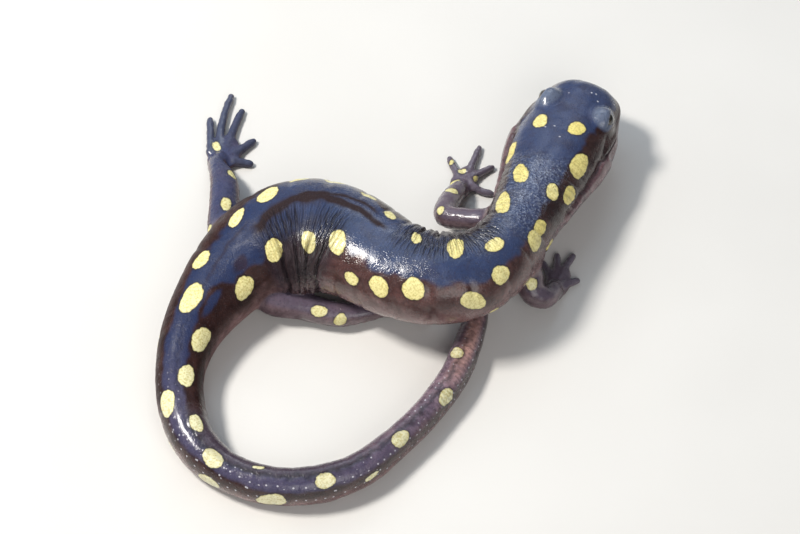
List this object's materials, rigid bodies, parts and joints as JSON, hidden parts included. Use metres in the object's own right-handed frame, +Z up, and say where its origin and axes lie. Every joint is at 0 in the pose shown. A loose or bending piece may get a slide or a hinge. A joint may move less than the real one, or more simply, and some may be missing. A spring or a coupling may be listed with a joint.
{
  "type": "spotted salamander",
  "caption": "Life-size still model of a spotted salamander lying in an S, its tail swung round and the tip under its raised chest.",
  "frame": {"origin": "middle of the bounding box in plan, on the floor that the animal rests on", "axes": "+Z is up from the floor; +Y is roughly the way the head points; +X is towards the animal's right at the head"},
  "size_m": [0.0733, 0.0799, 0.0171],
  "materials": {
    "skin": "wet, smooth dark slate skin, browner on the flanks, with two rows of yellow spots",
    "limb_skin": "wet grey-brown skin with a few pale yellow spots",
    "eye": "glossy black eye with a dark brown iris"
  },
  "bodies": {
    "root": {"head": "skin", "eye_left": "eye", "eye_right": "eye", "neck": "skin", "trunk_front": "skin", "trunk_rear": "skin", "tail_1": "skin", "tail_2": "skin", "tail_3": "skin", "tail_4": "skin", "tail_5": "skin", "upper_arm_left": "limb_skin", "forearm_left": "limb_skin", "hand_left": "limb_skin", "upper_arm_right": "limb_skin", "forearm_right": "limb_skin", "hand_right": "limb_skin", "thigh_left": "limb_skin", "shank_left": "limb_skin", "foot_left": "limb_skin", "thigh_right": "limb_skin", "shank_right": "limb_skin", "foot_right": "limb_skin"}
  },
  "joints": []
}
